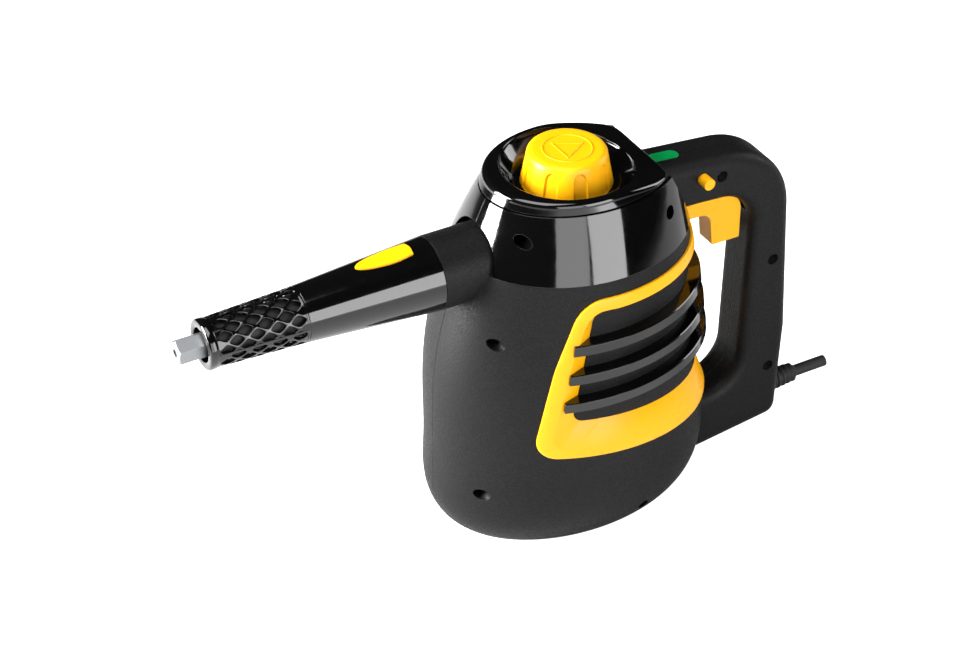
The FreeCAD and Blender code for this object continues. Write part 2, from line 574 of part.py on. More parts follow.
def boiler():
    """A cast lower pan and a drawn upper dome, screwed together through a gasket."""
    split, joint = "boiler_split_z", "boiler_split_z + gasket_h"
    holes = fuse("flange_holes", *round_the_flange("flange_hole", "screw_r + fit_gap", "80", "120"))
    pan = revolved("boiler_pan", (
        ("0", "boiler_low_z"), ("boiler_r - 8", "boiler_low_z"), ("boiler_r", "boiler_low_z + 8"),
        ("boiler_r", f"{split} - flange_h"), ("flange_r", f"{split} - flange_h"), ("flange_r", split),
        ("boiler_r - boiler_wall", split), ("boiler_r - boiler_wall", "boiler_low_z + 10"),
        ("boiler_r - 10", "boiler_low_z + boiler_wall"), ("0", "boiler_low_z + boiler_wall")))
    node("boiler_lower", cut("boiler_lower_drilled", pan, holes))
    dome = revolved("boiler_dome", (
        ("neck_r", "boiler_top_z"), ("boiler_r - 12", "boiler_top_z"), ("boiler_r", "boiler_top_z - 14"),
        ("boiler_r", f"{joint} + flange_h"), ("flange_r", f"{joint} + flange_h"), ("flange_r", joint),
        ("boiler_r - boiler_wall", joint), ("boiler_r - boiler_wall", "boiler_top_z - 16"),
        ("boiler_r - 14", "boiler_top_z - boiler_wall"), ("neck_r", "boiler_top_z - boiler_wall")))
    ports = fuse("boiler_ports", holes, rod("inlet_port", "pipe_r", "20", ("28", "-16", "boiler_top_z - 10")))
    node("boiler_upper", cut("boiler_upper_drilled", dome, ports))
    node("boiler_gasket", cut("gasket_drilled", ringed("gasket_ring", "flange_r", "boiler_r - boiler_wall",
                                                       split, joint), holes))
    top = f"{joint} + flange_h"
    shanks = round_the_flange("flange_shank", "screw_r", f"{split} - flange_h - 0.1", top)
    heads = round_the_flange("flange_head", "screw_head_r - 0.4", top, f"{top} + 2")
    node("boiler_screws", group("boiler_screw_set", *[fuse("boiler_screw", *pair) for pair in zip(shanks, heads)]))
    node("filler_neck", ringed("neck_tube", "neck_r", "neck_bore", "boiler_top_z - boiler_wall", "cap_z"))
    heater_z = "boiler_low_z - heater_tube_r"
    ring = torus("heater_ring", "heater_r", "heater_tube_r", ("0", "0", heater_z))
    ends = [rod("heater_end", "2", "9", (f"{sign}12", "heater_r", f"{heater_z} - 9")) for sign in ("", "-")]
    feet = [box("heater_joint", (f"{sign}12 - 2", "heater_r - 5", f"{heater_z} - 2"),
                (f"{sign}12 + 2", "heater_r + 2", heater_z)) for sign in ("", "-")]
    node("heating_element", fuse("heater", ring, *ends, *feet))
    node("thermostat", fuse("thermostat_body", rod("thermostat_disc", "9", "6", ("0", "0", "boiler_low_z - 6")),
                            box("thermostat_tabs", ("-7", "-1", "boiler_low_z - 12"), ("7", "1", "boiler_low_z - 6"))))
    node("thermal_fuse", rod("fuse_tube", "2.5", "16", ("14", "-8", "boiler_low_z - 2.5"), "Y"))


def along_path(name, r, spots):
    """A round pipe through spots, with a ball at each bend."""
    pieces = []
    for start, end in zip(spots, spots[1:]):
        step = Vector(*end) - Vector(*start)
        leg = rod(name + "_leg", r, str(step.Length), start, Rotation(Vector(0, 0, 1), step))
        pieces.append(leg)
    for spot in spots[1:-1]:
        ball = place(make("Part::Sphere", name + "_bend"), spot)
        pieces.append(bind(ball, Radius=r))
    return fuse(name, *pieces)


def spring(name, r, wire_r, pitch, length, at, along="Z"):
    """A round wire swept along a helix."""
    helix = make("Part::Helix", name + "_line")
    bind(helix, Radius=r, Pitch=pitch, Height=length)
    helix.Placement = Placement(Vector(), ALONG[along])
    bind(helix, Placement_Base_x=at[0], Placement_Base_y=at[1], Placement_Base_z=at[2])
    wire = make("Part::Circle", name + "_wire")
    bind(wire, Radius=wire_r)
    start = ALONG[along].multVec(Vector(1, 0, 0))
    turn = ALONG[along].multiply(Rotation(Vector(0, 0, 1), Vector(0, 1, 0)))
    wire.Placement = Placement(Vector(), turn)
    bind(wire, **{f"Placement_Base_{axis}": f"{at[number]} + ({r}) * {start[number]:.0f}"
                  for number, axis in enumerate("xyz")})
    sweep = make("Part::Sweep", name)
    sweep.Sections = [wire]
    sweep.Spine = (helix, [])
    sweep.Solid = True
    sweep.Frenet = True
    return sweep


def steam_circuit():
    """Pipes and the valve between the boiler and the nozzle."""
    low, top = "valve_low_z", "valve_low_z + valve_h"
    near, far = "valve_x - valve_half", "valve_x + valve_half"
    stem_low = f"({low} + 4.5)"
    block = box("valve_block", (near, "-valve_half", low), (far, "valve_half", top))
    bore = rod("valve_bore", "stem_r + fit_gap", "30", ("valve_x", "0", f"{low} + 1.5"))
    node("steam_valve_body", cut("valve_bored", block, bore))
    disc_z = "stem_top_z - 2.5"
    node("valve_stem", fuse("stem", rod("stem_rod", "stem_r", f"stem_top_z - {stem_low}", ("valve_x", "0", stem_low)),
                            rod("stem_disc", "stem_disc_r", "1.2", ("valve_x", "0", disc_z))))
    start = f"{top} + spring_wire_r"
    node("valve_spring", spring("valve_coil", "spring_r", "spring_wire_r", "1.7",
                                f"{disc_z} - spring_wire_r - 0.1 - ({start})", ("valve_x", "0", start)))
    boiler_top, valve_mid = SIZES["boiler_top_z"], SIZES["valve_low_z"] + 5
    x, side = SIZES["valve_x"], SIZES["valve_half"]
    jet = SIZES["jet_z"]
    node("inlet_pipe", along_path("inlet_pipe_run", "pipe_r", (
        (28, -16, boiler_top - 3), (28, -16, boiler_top + 8), (x, -side - 9, boiler_top + 8),
        (x, -side - 9, valve_mid), (x, -side, valve_mid))))
    node("outlet_pipe", along_path("outlet_pipe_run", "pipe_r", (
        (x, side, valve_mid), (x, side + 20, valve_mid), (x - 20, side + 20, jet - 12),
        (-20, side + 20, jet - 12), (-SIZES["outlet_x"] + 6, 0, jet), (-SIZES["outlet_x"], 0, jet))))
    node("steam_outlet", cut("outlet_bored",
                             rod("outlet_body", "outlet_r", "outlet_end_x - outlet_x", ("-outlet_x", "0", "jet_z"), "-X"),
                             rod("outlet_bore_tool", "outlet_bore", "60", ("-outlet_x - 6", "0", "jet_z"), "-X"),
                             rod("outlet_feed", "pipe_r - 1", "20", ("-outlet_x + 1", "0", "jet_z"), "-X")))


JET = ("0", "0", "jet_z")


def release_outline(name, grow):
    """The teardrop of the release button seen from above, grown all round."""
    body = make("PartDesign::Body", name)
    sketch = body.newObject("Sketcher::SketchObject", name + "_outline")
    plane = next(f for f in body.Origin.OriginFeatures if f.Role == "XY_Plane")
    sketch.AttachmentSupport = [(plane, "")]
    sketch.MapMode = "FlatFace"
    front, rear = -SIZES["latch_front_x"] - grow, -SIZES["latch_rear_x"] + grow
    half = SIZES["latch_half"] + grow
    shoulder = rear - 9
    sides = []
    for sign in (1, -1):
        spots = [Vector(shoulder + (front - shoulder) * share, sign * half * (1 - share ** 2) ** 0.5, 0)
                 for share in (0, 0.35, 0.65, 0.88, 0.97, 1)]
        curve = Part.BSplineCurve()
        curve.interpolate(Points=spots, InitialTangent=Vector(-1, 0, 0), FinalTangent=Vector(0, -sign, 0))
        sides.append(curve)
    corner = half - 0.9
    spots = [Vector(shoulder, half, 0), Vector(rear - 0.8, corner, 0), Vector(rear, 0, 0),
             Vector(rear - 0.8, -corner, 0), Vector(shoulder, -half, 0)]
    sketch.addGeometry(sides[0])
    for start, end in zip(spots, spots[1:]):
        sketch.addGeometry(Part.LineSegment(start, end))
    sketch.addGeometry(sides[1])
    pad = body.newObject("PartDesign::Pad", name + "_pad")
    pad.Profile = sketch
    bind(pad, Length="jet_z + 40")
    doc.recompute()
    return body


def cone_profile(name, grow, wall, start, end):
    """The nozzle's tapered outside, grown, as a tube of the given wall."""
    slope = "(collar_r - cone_end_r) / (cone_end_x - cone_x)"
    r_start = f"collar_r + {grow} - ({start} - cone_x) * {slope}"
    r_end = f"collar_r + {grow} - ({end} - cone_x) * {slope}"
    return revolved(name, ((f"{r_start} - {wall}", start), (r_start, start), (r_end, end),
                           (f"{r_end} - {wall}", end)), JET, "-X")


def nozzle():
    """The pull-off jet nozzle: gloss cone, pierced sleeve, brass tube and hexagonal tip."""
    spigot_start = "cone_x - spigot_len"
    cone = revolved("cone_turned", (
        ("spigot_r - cone_wall", spigot_start), ("spigot_r", spigot_start), ("spigot_r", "cone_x"),
        ("collar_r", "cone_x"), ("cone_end_r", "cone_end_x"), ("tube_r + 0.05", "cone_end_x"),
        ("tube_r + 0.05", "cone_end_x - 3"), ("cone_end_r - cone_wall", "cone_end_x - 3"),
        ("spigot_r - cone_wall", "cone_x + 4")), JET, "-X")
    above = box("above_jet", ("-" + FAR, "-50", "jet_z + 8"), ("0", "50", FAR))
    pocket = common("latch_pocket", release_outline("latch_pocket_outline", SIZES["latch_gap"]), above)
    node("nozzle_cone", cut("cone_pocketed", cone, pocket))
    skin = cone_profile("latch_skin", "0.7", "3.4", "latch_rear_x - 8", "latch_front_x + 8")
    node("release_button", common("latch_body", release_outline("latch_outline", 0), above, skin))
    coil_low = "jet_z + 6"
    node("release_spring", box("latch_leaf", ("-latch_front_x + 4", "-2", f"{coil_low}"),
                               ("-latch_rear_x - 4", "2", f"{coil_low} + 0.5")))
    sleeve = revolved("sleeve_turned", (
        ("cone_end_r - 0.1 - sleeve_wall", "cone_end_x"), ("cone_end_r - 0.1", "cone_end_x"),
        ("sleeve_end_r", "sleeve_end_x"), ("ring_r", "sleeve_end_x"), ("ring_r", "ring_x - 0.8"),
        ("ring_r - 0.8", "ring_x"), ("ring_bore", "ring_x"), ("ring_bore", "sleeve_end_x - 1"),
        ("sleeve_end_r - sleeve_wall", "sleeve_end_x - 1")), JET, "-X")
    rings, count = int(SIZES["hole_rings"]), int(SIZES["holes_round"])
    step = (SIZES["sleeve_end_x"] - SIZES["cone_end_x"]) / (rings + 1)
    holes = []
    for ring in range(rings):
        x = SIZES["cone_end_x"] + step * (ring + 1)
        side = SIZES["hole_side"] * (1.06 - 0.02 * ring)
        for number in range(count):
            turn = Rotation(Vector(1, 0, 0), 360 / count * (number + 0.5 * (ring % 2)))
            tilt = turn.multiply(Rotation(Vector(0, 0, 1), 45))
            corner = tilt.multVec(Vector(-side / 2, -side / 2, 9))
            hole = place(make("Part::Box", "sleeve_hole"), (str(corner.x - x), str(corner.y), f"{corner.z} + jet_z"), tilt)
            holes.append(bind(hole, Length=str(side), Width=str(side), Height="10"))
    node("nozzle_sleeve", cut("sleeve_pierced", sleeve, group("sleeve_holes", *holes)))
    node("nozzle_tube", revolved("tube_turned", (
        ("tube_bore", "outlet_end_x - 16"), ("tube_r", "outlet_end_x - 16"), ("tube_r", "tip_root_x"),
        ("tube_bore", "tip_root_x")), JET, "-X"))
    prism = place(make("Part::Prism", "tip_hexagon"), ("-tip_root_x", "0", "jet_z"), "-X")
    prism.Polygon = 6
    bind(prism, Circumradius="tip_corner_r", Height="tip_x - tip_root_x")
    rounding = revolved("tip_rounding", (
        ("0", "tip_root_x - 1"), ("tip_corner_r + 1", "tip_root_x - 1"), ("tip_corner_r + 1", "tip_x - 1.4"),
        ("tip_corner_r - 1.3", "tip_x"), ("0", "tip_x")), JET, "-X")
    node("nozzle_tip", cut("tip_bored", common("tip_chamfered", prism, rounding),
                           rod("tip_bore_tool", "tube_bore", "60", ("-tip_root_x + 5", "0", "jet_z"), "-X")))
    node("tube_seal", torus("tube_oring", "outlet_bore + 1", "0.9", ("-outlet_end_x - 1.2", "0", "jet_z"), "X"))


def controls():
    """Trigger, its pin, the lock button, and the lamp with its lens."""
    arm_top = "hand_top_z - 6"
    blade = outline_pad("trigger_blade", (
        ("trigger_nose_x", "trigger_arm_z"), ("trigger_face_x", "trigger_arm_z - 1.5"),
        ("trigger_face_x + 2.3", "trigger_low_z"),
        ("trigger_back_x", "trigger_low_z"), ("trigger_back_x", arm_top), ("trigger_nose_x", arm_top)),
        "trigger_half", ((1, "7"), (2, "0.8"), (3, "0.8"), (4, "13")))
    hub = across("trigger_hub", "hub_r", "-trigger_half", "trigger_half", "pivot_x", "pivot_z")
    neck = box("trigger_neck", ("pivot_x - 3", "-trigger_half", f"{arm_top} - 1"),
               ("pivot_x + 3", "trigger_half", "pivot_z"))
    node("trigger", cut("trigger_bored", fuse("trigger_solid", blade, hub, neck),
                        across("trigger_bore", "pivot_r + fit_gap", "-20", "20", "pivot_x", "pivot_z")))
    node("trigger_pin", across("pin_rod", "pivot_r - 0.02", "-pivot_r * 6 + 0.1", "pivot_r * 6 - 0.1",
                               "pivot_x", "pivot_z"))
    out, rear = "-grip_half - lock_out", "grip_half - 1"
    node("lock_button", across("lock_pin", "lock_r", out, rear, "lock_x", "lock_z"))
    lens = stadium("lens_block", "lens_half", "lens_len", "lens_x", "lens_low_z + fit_gap", "225")
    node("indicator_lens", common("lens_body", lens, grip("lens_skin", "-lens_proud", "grip_round")))
    node("indicator_lamp", rod("lamp_tube", "lamp_r", "14", ("lens_x - 7", "0", "lens_low_z - 3.2 - lamp_r"), "X"))


def supply():
    """Mains cord, its boot, the clamp on it and the terminals."""
    start = "grip_foot_x + 40"
    node("power_cord", rod("cord_run", "cord_r", f"cord_end_x - ({start})", (start, "0", "cord_z"), "X"))
    ribs = []
    count = 5
    for number in range(count):
        low = f"boot_x + 2.6 + {number} * (boot_len - 3) / {count}"
        ribs += [("boot_r - 1.2", low), (f"boot_r - {0.3 * number:.1f}", f"{low} + 0.5"),
                 (f"boot_r - {0.3 * number:.1f}", f"{low} + 1.7"), ("boot_r - 2", f"{low} + 2")]
    node("cord_boot", revolved("boot_turned", (
        ("cord_r + 0.02", "boot_x - 2"), ("boot_r - 1.5", "boot_x - 2"), ("boot_r - 1.5", "boot_x + 0.5"),
        ("boot_r + 0.4", "boot_x + 0.5"), ("boot_r + 0.4", "boot_x + 2"), *ribs,
        ("cord_r + 0.02", "boot_x + boot_len")), ("0", "0", "cord_z"), "X"))
    clamp = box("clamp_bar", ("122", "-11", "cord_z + 1"), ("130", "11", "cord_z + 6.5"))
    node("cord_clamp", cut("clamp_grooved", clamp, rod("clamp_groove", "cord_r + 0.02", "20", ("118", "0", "cord_z"), "X"),
                           *[rod("clamp_hole", "screw_r + fit_gap", "20", ("126", y, "cord_z - 5")) for y in ("8", "-8")]))
    node("clamp_screws", group("clamp_screw_set", *[
        fuse("clamp_screw", rod("clamp_shank", "screw_r", "13", ("126", y, "cord_z - 6.5")),
             rod("clamp_head", "screw_head_r - 0.4", "2", ("126", y, "cord_z + 6.5"))) for y in ("8", "-8")]))
    node("terminal_block", box("terminal_body", ("66", "-11", "12"), ("80", "11", "24")))
    wires = [along_path("supply_wire", "1", ((101.6, y / 3, 26), (92, y, 26), (80.4, y, 20))) for y in (-6, 0, 6)]
    node("supply_wires", group("supply_wire_set", *wires))


def feet():
    pads = [rod("foot_pad", "foot_r", "foot_h - fit_gap", (x, y, "0")) for x, y in FEET]
    node("rubber_feet", group("foot_set", *pads))


def case_screws():
    node("shell_screws", group("shell_screw_set", *[screw("shell_screw", x, z) for x, z in SHELL_SCREWS]))
    node("shroud_screws", group("shroud_screw_set", *[screw("shroud_screw", x, z) for x, z in SHROUD_SCREWS]))


def check(name, shape):
    """Every sub-part has to be a sound solid."""
    if shape.isNull() or not shape.isValid() or not shape.Solids:
        raise SystemExit(f"{name} is not a sound solid")


def export():
    doc.recompute()
    broken = [f"{item.Label} {item.State}" for item in doc.Objects if {"Invalid", "Error"} & set(item.State)]
    if broken:
        raise SystemExit("failed objects: " + ", ".join(broken))
    for name, item in NODES:
        check(name, item.Shape)
    os.makedirs("parts", exist_ok=True)
    for name, item in NODES:
        item.Shape.exportStep(f"parts/{name}.step")


shells()
side_frames()
shroud()
filler_bowl()
filler_cap()
boiler()
steam_circuit()
nozzle()
controls()
supply()
feet()
case_screws()
export()
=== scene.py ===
import math

import bmesh
import bpy
import numpy as np
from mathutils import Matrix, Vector


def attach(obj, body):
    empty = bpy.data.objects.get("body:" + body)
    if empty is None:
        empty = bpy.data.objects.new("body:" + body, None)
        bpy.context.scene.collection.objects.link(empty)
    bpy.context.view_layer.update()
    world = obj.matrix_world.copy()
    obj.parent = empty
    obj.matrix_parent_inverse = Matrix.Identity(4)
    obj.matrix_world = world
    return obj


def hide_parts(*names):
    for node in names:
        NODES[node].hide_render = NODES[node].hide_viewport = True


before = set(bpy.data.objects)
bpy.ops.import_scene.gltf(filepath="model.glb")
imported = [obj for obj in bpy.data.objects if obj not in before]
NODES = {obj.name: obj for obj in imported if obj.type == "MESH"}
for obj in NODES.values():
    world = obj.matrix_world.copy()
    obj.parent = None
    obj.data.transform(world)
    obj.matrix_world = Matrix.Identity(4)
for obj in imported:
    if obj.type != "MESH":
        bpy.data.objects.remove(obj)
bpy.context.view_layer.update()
MM = 0.001
SIDES = {"left": -1, "right": 1}


# ---------------------------------------------------------------- materials

class Finish:
    """A procedural material: one Principled shader with helpers that add nodes in front of it."""

    def __init__(self, name, colour, rough, metal=0.0, coat=0.0, specular=0.5):
        self.mat = bpy.data.materials.new(name)
        self.mat.use_nodes = True
        self.nodes, self.links = self.mat.node_tree.nodes, self.mat.node_tree.links
        self.shader = self.nodes["Principled BSDF"]
        self.put("Base Color", (*colour, 1))
        self.put("Roughness", rough)
        self.put("Metallic", metal)
        self.put("Coat Weight", coat)
        self.put("Coat Roughness", 0.04)
        self.put("Specular IOR Level", specular)
        self.coords = self.nodes.new("ShaderNodeTexCoord").outputs["Object"]
        self.normal = None

    def put(self, socket, value):
        self.shader.inputs[socket].default_value = value

    def join(self, start, end):
        self.links.new(start, end)

    def noise(self, scale, detail=2.0):
        tex = self.nodes.new("ShaderNodeTexNoise")
        tex.inputs["Scale"].default_value = scale
        tex.inputs["Detail"].default_value = detail
        self.join(self.coords, tex.inputs["Vector"])
        return tex.outputs["Fac"]

    def math(self, operation, a, b=None, clamp=False):
        item = self.nodes.new("ShaderNodeMath")
        item.operation, item.use_clamp = operation, clamp
        for place, value in enumerate((a, b)):
            if value is None:
                continue
            if isinstance(value, (int, float)):
                item.inputs[place].default_value = value
            else:
                self.join(value, item.inputs[place])
        return item.outputs[0]

    def spread(self, value, low, high, start, end):
        """value, remapped from low..high to start..end."""
        item = self.nodes.new("ShaderNodeMapRange")
        self.join(value, item.inputs["Value"])
        for name, number in (("From Min", low), ("From Max", high), ("To Min", start), ("To Max", end)):
            item.inputs[name].default_value = number
        return item.outputs[0]

    def soften(self, radius):
        """Rounds every edge in the shading."""
        item = self.nodes.new("ShaderNodeBevel")
        item.samples = 4
        item.inputs["Radius"].default_value = radius
        self.normal = item.outputs[0]
        return self.wire_normal()

    def bump(self, height, strength, distance):
        item = self.nodes.new("ShaderNodeBump")
        item.inputs["Strength"].default_value = strength
        item.inputs["Distance"].default_value = distance
        self.join(height, item.inputs["Height"])
        if self.normal is not None:
            self.join(self.normal, item.inputs["Normal"])
        self.normal = item.outputs[0]
        return self.wire_normal()

    def wire_normal(self):
        self.join(self.normal, self.shader.inputs["Normal"])
        return self

    def vary_colour(self, mask, low, high):
        """Blends between two colours by a 0 to 1 mask."""
        item = self.nodes.new("ShaderNodeMix")
        item.data_type = "RGBA"
        item.inputs["A"].default_value = (*low, 1)
        item.inputs["B"].default_value = (*high, 1)
        self.join(mask, item.inputs["Factor"])
        self.join(item.outputs["Result"], self.shader.inputs["Base Color"])
        return self

    def vary_rough(self, mask, low, high):
        self.join(self.spread(mask, 0.3, 0.7, low, high), self.shader.inputs["Roughness"])
        return self

    def parting(self, width):
        """A mask that is 0 on the plane where the half shells meet and 1 away from it."""
        split = self.nodes.new("ShaderNodeSeparateXYZ")
        self.join(self.coords, split.inputs[0])
        return self.spread(self.math("ABSOLUTE", split.outputs["Y"]), width * 0.4, width, 0, 1)


def matt_case():
    f = Finish("case_matt_plastic", (0.006, 0.006, 0.0063), 0.48, specular=0.18).soften(0.5 * MM)
    seam = f.parting(0.35 * MM)
    f.bump(seam, 1.0, 0.25 * MM)
    fine = f.noise(950, 2)
    f.bump(fine, 0.8, 0.2 * MM)
    f.vary_rough(f.noise(700, 2), 0.42, 0.58)
    speckle = f.spread(f.noise(1300, 1), 0.42, 0.66, 0, 1)
    f.vary_colour(f.math("MULTIPLY", f.math("ADD", f.math("MULTIPLY", speckle, 0.6), 0.4), seam, True),
                  (0.0005, 0.0005, 0.0006), (0.009, 0.009, 0.0094))
    return f.mat


def gloss_case():
    f = Finish("case_gloss_plastic", (0.0015, 0.0015, 0.0016), 0.06, coat=0.3, specular=0.6).soften(0.4 * MM)
    f.bump(f.parting(0.28 * MM), 1.0, 0.2 * MM)
    f.bump(f.noise(38, 1), 0.05, 1.2 * MM)
    f.vary_rough(f.noise(90, 3), 0.05, 0.11)
    return f.mat


def gloss_plain(name):
    f = Finish(name, (0.0015, 0.0015, 0.0016), 0.08, coat=0.3, specular=0.6).soften(0.35 * MM)
    f.bump(f.noise(60, 1), 0.05, 0.8 * MM)
    f.vary_rough(f.noise(120, 3), 0.06, 0.12)
    return f.mat


def yellow_plastic():
    f = Finish("yellow_plastic", (0.93, 0.43, 0.003), 0.32, specular=0.3).soften(0.5 * MM)
    f.bump(f.noise(900, 2), 0.06, 0.03 * MM)
    f.vary_rough(f.noise(160, 3), 0.26, 0.36)
    f.vary_colour(f.noise(22, 2), (0.91, 0.415, 0.003), (0.96, 0.445, 0.003))
    return f.mat


def green_lens():
    f = Finish("lens_green_plastic", (0.002, 0.3, 0.075), 0.12, coat=0.4).soften(0.6 * MM)
    f.put("Transmission Weight", 0.25)
    # Faint emission: a painted glow that brightens the lens, though the lamp behind it gives no light.
    f.put("Emission Color", (0.0, 0.45, 0.1, 1))
    f.put("Emission Strength", 0.1)
    ribs = f.nodes.new("ShaderNodeTexWave")
    ribs.inputs["Scale"].default_value = 260
    f.join(f.coords, ribs.inputs["Vector"])
    f.vary_colour(ribs.outputs["Fac"], (0.0, 0.2, 0.045), (0.004, 0.36, 0.09))
    return f.mat


def metal(name, colour, rough, scale=400):
    f = Finish(name, colour, rough, metal=1.0).soften(0.3 * MM)
    f.bump(f.noise(scale, 4), 0.15, 0.05 * MM)
    f.vary_rough(f.noise(scale / 2, 3), rough * 0.8, rough * 1.25)
    return f.mat


def soft_plastic(name, colour, rough, scale=600, strength=0.3):
    f = Finish(name, colour, rough, specular=0.4).soften(0.3 * MM)
    f.bump(f.noise(scale, 3), strength, 0.08 * MM)
    f.vary_rough(f.noise(scale / 3, 2), rough * 0.85, rough * 1.12)
    return f.mat


MATERIALS = {
    "case_matt": matt_case(),
    "case_gloss": gloss_case(),
    "gloss_plain": gloss_plain("gloss_plastic"),
    "yellow": yellow_plastic(),
    "lens_green": green_lens(),
    "lamp_glass": soft_plastic("lamp_glass", (0.5, 0.6, 0.5), 0.1, 200, 0.05),
    "brass": metal("brass_metal", (0.78, 0.55, 0.22), 0.28),
    "aluminium": metal("aluminium_metal", (0.72, 0.73, 0.74), 0.38),
    "steel": metal("steel_metal", (0.55, 0.55, 0.56), 0.3),
    "tip_steel": metal("tip_steel_metal", (0.3, 0.31, 0.32), 0.42, 900),
    "silicone": soft_plastic("silicone_rubber", (0.55, 0.12, 0.07), 0.5),
    "black_rubber": soft_plastic("black_rubber", (0.012, 0.012, 0.013), 0.6),
    "cord_pvc": soft_plastic("cord_pvc", (0.014, 0.014, 0.015), 0.45, 300, 0.2),
    "wire_pvc": soft_plastic("wire_pvc", (0.25, 0.1, 0.03), 0.4),
    "terminal": soft_plastic("terminal_plastic", (0.7, 0.68, 0.6), 0.45),
}
NODE_SLOTS = {n: s for s, names in {
    "case_matt": "left_shell right_shell left_vent_panel right_vent_panel",
    "case_gloss": "left_shroud right_shroud",
    "gloss_plain": "filler_bowl nozzle_cone",
    "yellow": "filler_cap_knob lock_button trigger release_button",
    "lens_green": "indicator_lens",
    "lamp_glass": "indicator_lamp",
    "brass": "nozzle_tube relief_valve steam_valve_body valve_stem steam_outlet",
    "aluminium": "boiler_upper boiler_lower filler_neck",
    "steel": "boiler_screws shell_screws shroud_screws clamp_screws trigger_pin valve_spring release_spring"
             " heating_element thermostat inlet_pipe outlet_pipe thermal_fuse",
    "tip_steel": "nozzle_tip",
    "silicone": "boiler_gasket cap_seal tube_seal",
    "black_rubber": "rubber_feet cord_boot",
    "cord_pvc": "power_cord",
    "wire_pvc": "supply_wires",
    "terminal": "terminal_block filler_cap_plug cord_clamp",
}.items() for n in names.split()}


def smooth_by_angle(mesh, degrees):
    """Shades a mesh smooth, apart from edges sharper than the angle."""
    work = bmesh.new()
    work.from_mesh(mesh)
    limit = math.radians(degrees)
    for face in work.faces:
        face.smooth = True
    for edge in work.edges:
        edge.smooth = len(edge.link_faces) == 2 and edge.calc_face_angle(0) < limit
    work.to_mesh(mesh)
    work.free()


for name, item in NODES.items():
    item.data.materials.clear()
    item.data.materials.append(MATERIALS[NODE_SLOTS.get(name, "case_matt")])


# ---------------------------------------------------------------- geometry helpers

def spline(places, values):
    """A natural cubic spline through the points, as a function."""
    x, y = np.array(places, float), np.array(values, float)
    n, h = len(x), np.diff(x)
    rows, right = np.eye(n), np.zeros(n)
    for i in range(1, n - 1):
        rows[i, i - 1:i + 2] = h[i - 1], 2 * (h[i - 1] + h[i]), h[i]
        right[i] = 6 * ((y[i + 1] - y[i]) / h[i] - (y[i] - y[i - 1]) / h[i - 1])
    bend = np.linalg.solve(rows, right)

    def at(spot):
        i = int(min(max(np.searchsorted(x, spot) - 1, 0), n - 2))
        a, b = (x[i + 1] - spot) / h[i], (spot - x[i]) / h[i]
        return a * y[i] + b * y[i + 1] + ((a ** 3 - a) * bend[i] + (b ** 3 - b) * bend[i + 1]) * h[i] ** 2 / 6
    return at


# Stations up the casing in millimetres: height, reach to the front, reach to the rear, half width.
STATIONS = ((1, 62, 65, 40.5), (6, 72, 75, 49.5), (18, 81.5, 84.5, 58.5), (55, 85.4, 88.5, 63.5),
            (100, 85, 86.5, 65), (150, 78, 79.5, 63), (188, 65.5, 72, 58))
HEIGHTS, FRONTS, REARS, HALVES = zip(*STATIONS)
FRONT, REAR, HALF = spline(HEIGHTS, FRONTS), spline(HEIGHTS, REARS), spline(HEIGHTS, HALVES)


def skin(angle, z, proud, side):
    """A point on the casing. The angle is 0 at the rear and pi at the front; proud is outwards."""
    front, rear, half = FRONT(z), REAR(z), HALF(z)
    middle, reach = (rear - front) / 2, (rear + front) / 2
    across = Vector((math.cos(angle) / reach, math.sin(angle) / half)).normalized()
    return Vector((middle + reach * math.cos(angle) + proud * across.x,
                   side * (half * math.sin(angle) + proud * across.y), z)) * MM


def angle_at(x, z):
    front, rear = FRONT(z), REAR(z)
    return math.acos(max(-1, min(1, (x - (rear - front) / 2) / ((rear + front) / 2))))


def mesh_piece(name, verts, faces, material, body, slot, replaced=(), smooth=35):
    mesh = bpy.data.meshes.new(name)
    mesh.from_pydata([tuple(v) for v in verts], [], faces)
    work = bmesh.new()
    work.from_mesh(mesh)
    bmesh.ops.remove_doubles(work, verts=work.verts, dist=0.01 * MM)
    bmesh.ops.recalc_face_normals(work, faces=work.faces)
    work.to_mesh(mesh)
    work.free()
    smooth_by_angle(mesh, smooth)
    mesh.materials.append(MATERIALS[material])
    item = bpy.data.objects.new(name, mesh)
    bpy.context.scene.collection.objects.link(item)
    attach(item, body)
    if replaced:
        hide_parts(*replaced)
    return item


def strips(rows, closed_rows=False, closed=False):
    """Faces that join rows of equal length."""
    count, faces = len(rows[0]), []
    order = list(range(len(rows))) + ([0] if closed_rows else [])
    for a, b in zip(order, order[1:]):
        for i in range(count if closed else count - 1):
            j = (i + 1) % count
            faces.append((a * count + i, a * count + j, b * count + j, b * count + i))
    return [v for row in rows for v in row], faces


def rounded(corners, radii, step=0.6):
    """An open polyline through corners, with arcs of the given radii at the inner ones."""
    points = [Vector(corners[0])]
    for i in range(1, len(corners) - 1):
        here = Vector(corners[i])
        back = (Vector(corners[i - 1]) - here).normalized()
        ahead = (Vector(corners[i + 1]) - here).normalized()
        half = back.angle(ahead) / 2
        radius = radii[i - 1]
        reach = radius / math.tan(half)
        centre = here + (back + ahead).normalized() * (radius / math.sin(half))
        start, end = here + back * reach - centre, here + ahead * reach - centre
        turn = start.angle(end)
        count = max(3, int(turn * radius / step))
        for k in range(count + 1):
            t = k / count
            swung = start * math.sin((1 - t) * turn) + end * math.sin(t * turn)
            points.append(centre + swung / math.sin(turn))
    points.append(Vector(corners[-1]))
    return points


def spaced(points, count):
    """count points at equal spacing along a polyline."""
    lengths = np.cumsum([0] + [(b - a).length for a, b in zip(points, points[1:])])
    picked = []
    for want in np.linspace(0, lengths[-1], count):
        i = int(min(max(np.searchsorted(lengths, want) - 1, 0), len(points) - 2))
        span = lengths[i + 1] - lengths[i]
        picked.append(points[i].lerp(points[i + 1], (want - lengths[i]) / span if span else 0))
    return picked


# ---------------------------------------------------------------- vent frames and fins

